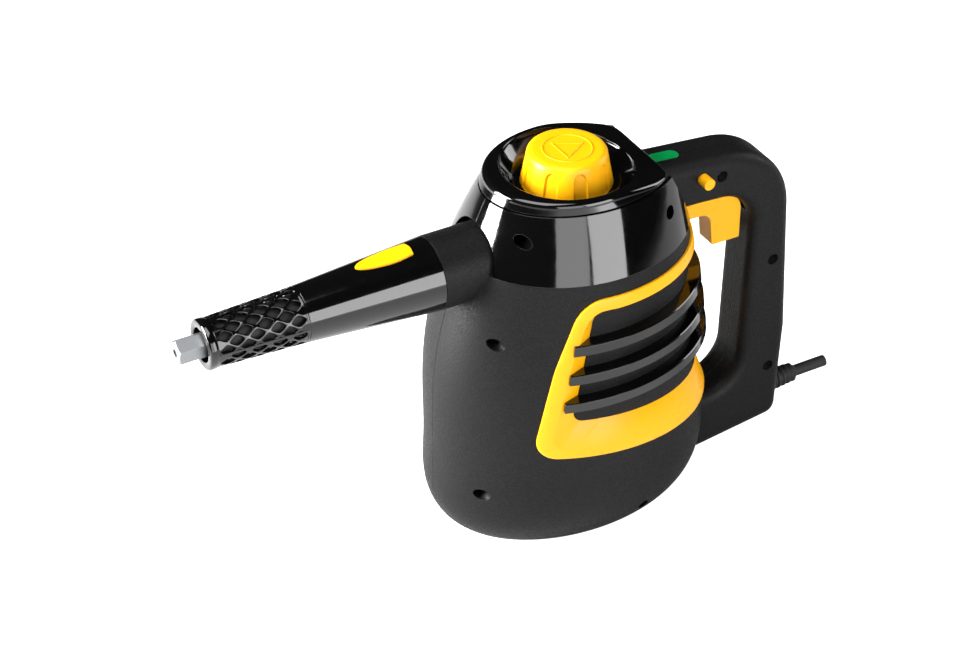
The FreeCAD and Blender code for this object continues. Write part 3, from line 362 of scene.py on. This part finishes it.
# The frame's lower edges fall rearwards at this slope. LOW and TOP are where its edges cross x = 0.
FALL = math.tan(math.radians(6.3))
OUTER_LOW, OUTER_TOP, INNER_LOW, INNER_TOP = 73.6, 178.6, 96.4, 168.5
# The front edge of each outline from the side, as (x, height) with the corners' heights not yet sloped.
OUTER = ((-50, OUTER_LOW), (-38.5, 139), (-22, OUTER_TOP))
INNER = ((-27.5, INNER_LOW), (-14, INNER_TOP))
WAIST_R = 75
# How far in the bevel starts, as a share of the frame's width, along the bottom, the front and the top.
BOTTOM_LIP, FRONT_LIP, TOP_LIP = 0.2, 0.46, 0.68
LIP_ROLL = 0.025
TRIGGER_NOTCH_Z, TRIGGER_NOTCH_HALF = 150, 9.2
FIN_COUNT, FIN_LOW, FIN_STEP, FIN_H = 3, 110.5, 18.3, 6.5
FIN_START, FIN_START_STEP = -34, 2.8


def unrolled(x, z):
    """(arc, z) of a point seen from the side. The arc runs forwards from the rear at the waist's size."""
    return Vector((angle_at(x, z) * WAIST_R, z))


def edge_path(front, low, top, radii):
    """An unrolled edge of the frame, from the rear along the bottom, up the front and back along the top."""
    low_x = front[0][0]
    bottom = []
    for k in range(40):
        angle = angle_at(low_x, low - low_x * FALL) * k / 40
        z = low
        for _ in range(6):
            z = low - ((REAR(z) - FRONT(z)) / 2 + (REAR(z) + FRONT(z)) / 2 * math.cos(angle)) * FALL
        bottom.append(Vector((angle * WAIST_R, z)))
    corner = unrolled(low_x, low - low_x * FALL)
    ups = [unrolled(x, z) for x, z in front[1:]]
    if front[0][0] == INNER[0][0]:
        ups = [unrolled(front[1][0], top)]
    end = Vector((0.0, top))
    bent = rounded([bottom[-6], corner, *ups, end], radii)
    return bottom[:-6] + bent


def split_at_corners(path, corners):
    """The path in three runs, cut at the points nearest two corners."""
    cuts = [min(range(len(path)), key=lambda i: (path[i] - c).length) for c in corners]
    return path[:cuts[0] + 1], path[cuts[0]:cuts[1] + 1], path[cuts[1]:]


def lip_share(run, t):
    """The bevel's start along a run of the frame, which changes smoothly round its corners."""
    low_corner, top_corner = (BOTTOM_LIP + FRONT_LIP) / 2, (FRONT_LIP + TOP_LIP) / 2
    if run == 0:
        return BOTTOM_LIP + (low_corner - BOTTOM_LIP) * max(0, t - 0.9) / 0.1
    if run == 1:
        return (low_corner + (FRONT_LIP - low_corner) * min(1, t / 0.12)
                + (top_corner - FRONT_LIP) * max(0, t - 0.85) / 0.15)
    return top_corner + (TOP_LIP - top_corner) * min(1, t / 0.1)


def frame_mesh(side):
    """The yellow moulding of one side: a flat face, a bevel down to the panel and a rolled outer edge."""
    outer = edge_path(OUTER, OUTER_LOW, OUTER_TOP, (13, 60, 18))
    inner = edge_path(INNER, INNER_LOW, INNER_TOP, (6, 7))
    outer_runs, inner_runs = (
        split_at_corners(path, (unrolled(x, low - x * FALL), unrolled(top_x, top)))
        for path, ((x, low), *_, (top_x, top)) in ((outer, OUTER), (inner, INNER)))
    pairs = []
    for run, (a, b, count) in enumerate(zip(outer_runs, inner_runs, (90, 60, 90))):
        for i, pair in enumerate(zip(spaced(a, count), spaced(b, count))):
            if run and not i:
                continue
            pairs.append((*pair, lip_share(run, i / (count - 1))))
    profile = ((0, -2.5), (0, 0.75), (0.02, 1.05), (0.06, 1.2), ("lip", 1.2), ("lip+", 1.08),
               (0.97, -4.75), (1, -5.3))
    rows = []
    for place, proud in profile:
        row = []
        for a, b, lip in pairs:
            share = {"lip": lip, "lip+": lip + LIP_ROLL}.get(place, place)
            spot = a.lerp(b, share)
            arc = max(spot.x, TRIGGER_NOTCH_HALF if spot.y > TRIGGER_NOTCH_Z else 0)
            row.append(skin(arc / WAIST_R, spot.y, proud, side))
        rows.append(row)
    return strips(rows)


def fin_mesh(side):
    """Three louvres across the panel, each a rounded bar with a square front end."""
    verts, faces = [], []
    count = 70
    for number in range(FIN_COUNT):
        low, start = FIN_LOW + FIN_STEP * number, FIN_START + FIN_START_STEP * number
        high = low + FIN_H
        section = ((low, -5.6), (low, 1.9), (low + 0.5, 2.4),
                   (high - 0.5, 2.4), (high, 1.9), (high + 0.2, -5.6))
        first = angle_at(start, (low + high) / 2)
        rows = [[skin(first * k / count, z, proud, side) for z, proud in section] for k in range(count + 1)]
        more_verts, more_faces = strips(rows, closed=True)
        base = len(verts)
        verts += more_verts
        faces += [tuple(base + i for i in f) for f in more_faces]
        last = base + count * len(section)
        faces.append(tuple(last + i for i in range(len(section))))
    return verts, faces


for side_name, side in SIDES.items():
    mesh_piece(f"{side_name}_frame_moulding", *frame_mesh(side), "yellow", "casing", "yellow",
               (f"{side_name}_vent_frame",), 22)
    mesh_piece(f"{side_name}_louvres", *fin_mesh(side), "gloss_plain", "casing", "case_gloss",
               (f"{side_name}_vent_fins",), 30)


# ---------------------------------------------------------------- nozzle

JET_Z = 185.5
# The sleeve's ends along the nozzle, and its radius at each.
SLEEVE_REAR, SLEEVE_FRONT, SLEEVE_REAR_R, SLEEVE_FRONT_R = 165, 218, 15.8, 13.9


def jet_point(along, radius, turn):
    """A point round the nozzle's axis. A turn of 0 is on top."""
    return Vector((-along, -radius * math.sin(turn), JET_Z + radius * math.cos(turn))) * MM


def sleeve_radius(along):
    share = (along - SLEEVE_REAR) / (SLEEVE_FRONT - SLEEVE_REAR)
    return SLEEVE_REAR_R - share * (SLEEVE_REAR_R - SLEEVE_FRONT_R)


def lattice_mesh():
    """A tapered tube pierced by staggered rounded diamonds, with a plain band at each end."""
    rings, count = 8, 11
    step = (SLEEVE_FRONT - SLEEVE_REAR) / (rings + 1)
    pitch = 2 * math.pi / count
    edge = 6
    verts, faces = [], []

    def rim(power):
        """Unit points round a diamond whose corners are rounded by the power, in quarter order."""
        points = []
        for k in range(4 * edge):
            angle = 2 * math.pi * k / (4 * edge)
            c, s = math.cos(angle), math.sin(angle)
            size = (abs(c) ** power + abs(s) ** power) ** (-1 / power)
            points.append((c * size, s * size))
        return points

    diamond, soft = rim(1.0), rim(1.28)
    loops = ((diamond, 1.0, 0.0), (soft, 0.80, 0.0), (soft, 0.745, 0.12),
             (soft, 0.715, 0.45), (soft, 0.70, 2.0))
    for ring in range(rings):
        middle = SLEEVE_REAR + step * (ring + 1)
        for number in range(count):
            turn = pitch * (number + 0.5 * (ring % 2))
            base = len(verts)
            for shape, size, drop in loops:
                for u, v in shape:
                    along = middle + u * size * step
                    verts.append(jet_point(along, sleeve_radius(along) - drop, turn + v * size * pitch / 2))
            total = len(diamond)
            for row in range(len(loops) - 1):
                for i in range(total):
                    j = (i + 1) % total
                    faces.append((base + row * total + i, base + row * total + j,
                                  base + (row + 1) * total + j, base + (row + 1) * total + i))
    for end, inward in ((SLEEVE_REAR, 1), (SLEEVE_FRONT, -1)):
        ring = 0 if inward == 1 else rings - 1
        middle = SLEEVE_REAR + step * (ring + 1)
        for number in range(count):
            turn = pitch * (number + 0.5 * (ring % 2))
            tips = [(middle - inward * step * (1 - k / edge), turn + sign * pitch / 2 * k / edge)
                    for sign in (-1, 1) for k in range(edge + 1)]
            for sign in (0, 1):
                run = tips[sign * (edge + 1):(sign + 1) * (edge + 1)]
                base = len(verts)
                for along, angle in run:
                    verts.append(jet_point(along, sleeve_radius(along), angle))
                    verts.append(jet_point(end, sleeve_radius(end), angle))
                for k in range(edge):
                    faces.append((base + 2 * k, base + 2 * k + 1, base + 2 * k + 3, base + 2 * k + 2))
    return verts, faces


def turned(profile, count=96):
    """A shape turned about the nozzle's axis from (along, radius) points."""
    rows = [[jet_point(a, r, 2 * math.pi * k / count) for k in range(count)] for a, r in profile]
    return strips(rows, closed=True)


def add_to(target, extra):
    base = len(target[0])
    target[0].extend(extra[0])
    target[1].extend(tuple(base + i for i in f) for f in extra[1])


sleeve = ([], [])
add_to(sleeve, lattice_mesh())
add_to(sleeve, turned(((164.9, 13.6), (164.9, 15.7), (165.3, 15.95), (166.4, 15.9),
                       (166.9, 15.5), (166.9, 13.6))))
add_to(sleeve, turned(((217.0, 11.6), (217.0, 13.9), (217.6, 14.3), (221.0, 14.3), (221.8, 13.7), (222, 13.2),
                       (222, 10.2), (221.6, 9.7), (218, 9.6), (217.0, 9.8))))
mesh_piece("nozzle_lattice", *sleeve, "gloss_plain", "nozzle", "case_gloss", ("nozzle_sleeve",), 40)

# A black tube inside the lattice: painted shade that darkens the holes where the inside of the sleeve is only
# in shadow.
shade_tube = turned(((164, 11.9), (217.4, 10.9)))
mesh_piece("nozzle_shade_tube", *shade_tube, "black_rubber", "nozzle", "case_gloss")

rib_rows = []
for along in np.linspace(SLEEVE_REAR + 1, SLEEVE_FRONT, 14):
    radius = sleeve_radius(along)
    rib_rows.append([jet_point(along, radius + out, math.pi / 2 + shift / radius)
                     for out, shift in ((-1.5, -0.8), (0.25, -0.6), (0.35, 0), (0.25, 0.6), (-1.5, 0.8))])
mesh_piece("nozzle_rib", *strips(rib_rows), "gloss_plain", "nozzle", "case_gloss")


# ---------------------------------------------------------------- crown

CROWN_LOW, CROWN_TOP = 224.1, 231.0
# Rings up the crown in millimetres: height, reach to the front, reach to the rear, half width.
CROWN_RINGS = ((CROWN_LOW, 50.5, 62, 43.4), (228.5, 48.5, 54, 42), (CROWN_TOP, 45, 48.5, 38.5))
FACET_X, FACET_Z, FACET_TAN = 66.0, 188.0, math.tan(math.radians(26.3))
SLOPE_X, SLOPE_TAN = 10.0, math.tan(math.radians(9.8))
SPIGOT_LOW, SPIGOT_INSET = 216.0, 2.9
BOWL_R, BOWL_FLOOR_R, BOWL_LOW, BOWL_LIP = 37.5, 29.0, 217.5, 0.9
NECK_HOLE_R = 17.4


def softly_least(a, b, blend):
    """The lesser of two lengths, with a rounded change from one to the other."""
    h = max(blend - abs(a - b), 0) / blend
    return min(a, b) - h * h * h * blend / 6


def crown_top(x):
    """The height of the crown's top, which falls rearwards."""
    return softly_least(CROWN_TOP, CROWN_TOP - (x - SLOPE_X) * SLOPE_TAN, 1.5)


def crown_wall(angle, z):
    """The crown's wall as a direction and a reach, cut by the leaning flat at the rear."""
    heights, *reaches = zip(*CROWN_RINGS)
    front, rear, half = (float(np.interp(z, heights, values)) for values in reaches)
    spot = Vector(((rear - front) / 2 + (rear + front) / 2 * math.cos(angle), half * math.sin(angle)))
    way = spot.normalized()
    if way.x <= 0.05:
        return way, spot.length
    flat = (FACET_X - (z - FACET_Z) * FACET_TAN) / way.x
    return way, softly_least(spot.length, flat, 8 + z - CROWN_LOW)


def crown_column(angle):
    """Points up the spigot and the wall, over the rolled rim and down into the bowl."""
    column = []

    def add(way, reach, z):
        column.append(Vector((way.x * reach, way.y * reach, z)) * MM)

    way, reach = crown_wall(angle, CROWN_LOW)
    add(way, reach - SPIGOT_INSET, SPIGOT_LOW)
    add(way, reach - SPIGOT_INSET, CROWN_LOW)
    roll = 3.2 + 1.6 * max(0.0, math.cos(angle))
    way, reach = crown_wall(angle, CROWN_TOP)
    wall_top = max(crown_top(way.x * reach) - roll, CROWN_LOW + 0.2)
    for z in np.linspace(CROWN_LOW, wall_top, 7):
        way, reach = crown_wall(angle, z)
        add(way, reach, z)
    inner = reach - roll * 1.15
    rise = crown_top(way.x * inner) - wall_top
    for turn in np.linspace(0, math.pi / 2, 9)[1:]:
        add(way, inner + (reach - inner) * math.cos(turn), wall_top + rise * math.sin(turn))
    for out in np.linspace(inner, BOWL_R + BOWL_LIP, 6)[1:]:
        add(way, out, crown_top(way.x * out))
    lip = crown_top(way.x * BOWL_R)
    for turn in np.linspace(0, math.pi / 2, 6)[1:]:
        add(way, BOWL_R + BOWL_LIP * (1 - math.sin(turn)), lip - BOWL_LIP * (1 - math.cos(turn)))
    for part in np.linspace(0, 1, 10)[1:]:
        add(way, BOWL_R + (BOWL_FLOOR_R - BOWL_R) * part, lip - BOWL_LIP - (lip - BOWL_LIP - BOWL_LOW) * part)
    for out in np.linspace(BOWL_FLOOR_R, NECK_HOLE_R, 5)[1:]:
        add(way, out, BOWL_LOW)
    return column


crown_rows = list(zip(*[crown_column(2 * math.pi * k / 360) for k in range(360)]))
mesh_piece("crown_bowl", *strips(crown_rows, closed=True), "gloss_plain", "casing", "case_gloss",
           ("filler_bowl",), 50)


# ---------------------------------------------------------------- filler cap

CAP_LOW, CAP_TOP, CAP_R = 218.6, 239.8, 25.8
SKIRT_LOW, SKIRT_TOP, SKIRT_TOP_R = CAP_LOW + 1.1, 236.9, 22.5
RING_RISE = 0.35
SLOT_COUNT, SLOT_HALF, SLOT_DEPTH, SLOT_FADE, SLOT_FIRST = 9, 9, 1.05, 231.5, -102


def cap_profile():
    """(radius, height) points up the skirt, over the shoulder and in across the raised ring."""
    skirt = [(CAP_R + (SKIRT_TOP_R - CAP_R) * t, SKIRT_LOW + (SKIRT_TOP - SKIRT_LOW) * t)
             for t in np.linspace(0, 1, 34)]
    shoulder = [(22.25, 237.9), (21.75, 238.7), (21.0, 239.35), (20.0, 239.7), (18.8, CAP_TOP)]
    ring = [(14.4, 0), (14.25, 0.3), (14.1, RING_RISE), (13.5, RING_RISE), (13.35, 0.3), (13.2, 0)]
    return [(22.8, CAP_LOW + 3), (22.8, CAP_LOW), (25.3, CAP_LOW), (25.75, CAP_LOW + 0.5), *skirt, *shoulder,
            *[(radius, CAP_TOP + rise) for radius, rise in ring], (6, CAP_TOP), (0.05, CAP_TOP)]


def slot_depth(degrees, radius, z):
    """How far the skirt is cut in at a place. Each slot's top is rounded."""
    if not (CAP_LOW < z <= SKIRT_TOP and radius > SKIRT_TOP_R - 0.05):
        return 0
    pitch = 360 / SLOT_COUNT
    off = abs((degrees - SLOT_FIRST + pitch / 2) % pitch - pitch / 2)
    rise = max(0.0, (z - SLOT_FADE) / (SKIRT_TOP - 0.8 - SLOT_FADE))
    width = SLOT_HALF * math.sqrt(max(0.0, 1 - rise ** 2))
    cut = min(1.0, max(0.0, (width - off) / 1.1))
    return SLOT_DEPTH * cut * cut * (3 - 2 * cut)


def cap_mesh():
    """The knob: a tapered skirt with round-topped slots, a rolled shoulder and a raised ring on top."""
    count, rows = 540, []
    for radius, z in cap_profile():
        row = []
        for k in range(count):
            angle = 2 * math.pi * k / count
            reach = radius - slot_depth(math.degrees(angle), radius, z)
            row.append(Vector((reach * math.cos(angle), reach * math.sin(angle), z)) * MM)
        rows.append(row)
    return strips(rows, closed=True)


def triangle_mesh():
    """A flat triangular band on top of the cap. A triangle's corners are twice its inner radius away."""
    rows = []
    for inner, rise in ((5.45, -0.1), (5.35, RING_RISE), (4.6, RING_RISE), (4.5, -0.1)):
        corners = [math.radians(120 * k + 1) for k in range(3)]
        rows.append([Vector((2 * inner * math.cos(a), 2 * inner * math.sin(a), CAP_TOP + rise)) * MM
                     for a in corners])
    return strips(rows, closed=True)


mesh_piece("cap_knob", *cap_mesh(), "yellow", "filler_cap", "yellow", ("filler_cap_knob",), 50)
mesh_piece("cap_mark", *triangle_mesh(), "yellow", "filler_cap", "yellow", (), 30)


# ---------------------------------------------------------------- studio

def aim(item, target):
    item.rotation_mode = "QUATERNION"
    item.rotation_quaternion = (Vector(target) - item.location).to_track_quat("-Z", "Y")


TARGET = (-0.0544, 0, 0.136)


def around(azimuth, elevation, distance):
    a, e = math.radians(azimuth), math.radians(elevation)
    way = Vector((math.sin(a) * math.cos(e), -math.cos(a) * math.cos(e), math.sin(e)))
    return Vector(TARGET) + distance * way


def softbox(name, azimuth, elevation, distance, width, height, power):
    light = bpy.data.lights.new(name, "AREA")
    light.shape, light.size, light.size_y, light.energy = "RECTANGLE", width, height, power
    item = bpy.data.objects.new(name, light)
    bpy.context.scene.collection.objects.link(item)
    item.location = around(azimuth, elevation, distance)
    aim(item, TARGET)


softbox("left_box", -110, 16, 1.3, 0.6, 1.1, 96)
softbox("front_dim_box", -12.5, 10, 1.5, 0.70, 1.2, 9)
softbox("front_bright_box", 16, 10, 1.5, 0.68, 1.2, 17)
softbox("right_box", 84, 22, 1.6, 0.5, 1.0, 8)
softbox("top_box", -70, 74, 1.4, 0.9, 0.9, 13)


def by_ray(tree, seen, other):
    """A number that is one value for the camera and another for light and reflections."""
    path = tree.nodes.new("ShaderNodeLightPath")
    pick = tree.nodes.new("ShaderNodeMapRange")
    tree.links.new(path.outputs["Is Camera Ray"], pick.inputs["Value"])
    pick.inputs["To Min"].default_value = other
    pick.inputs["To Max"].default_value = seen
    return pick.outputs[0]


world = bpy.data.worlds.new("studio")
world.use_nodes = True
bpy.context.scene.world = world
background = world.node_tree.nodes["Background"]
background.inputs["Color"].default_value = (1, 1, 1, 1)
world.node_tree.links.new(by_ray(world.node_tree, 1.1, 0.015), background.inputs["Strength"])

bpy.ops.mesh.primitive_plane_add(size=8, location=(0, 0, 0))
floor = bpy.context.object
floor.name = "floor"
pale = Finish("floor_paper", (0.6, 0.6, 0.6), 0.9, specular=0.0)
pale.bump(pale.noise(40, 3), 0.02, MM)
pale.put("Emission Color", (1, 1, 1, 1))
pale.links.new(by_ray(pale.mat.node_tree, 1.0, 0.0), pale.shader.inputs["Emission Strength"])
floor.data.materials.append(pale.mat)

camera = bpy.data.cameras.new("camera")
camera.lens, camera.sensor_width = 97.5, 36
camera.clip_start = 0.01
eye = bpy.data.objects.new("camera", camera)
bpy.context.scene.collection.objects.link(eye)
eye.location = around(-29, 36.2, 1.458)
aim(eye, TARGET)
bpy.context.scene.camera = eye
bpy.context.scene.view_settings.view_transform = "Standard"
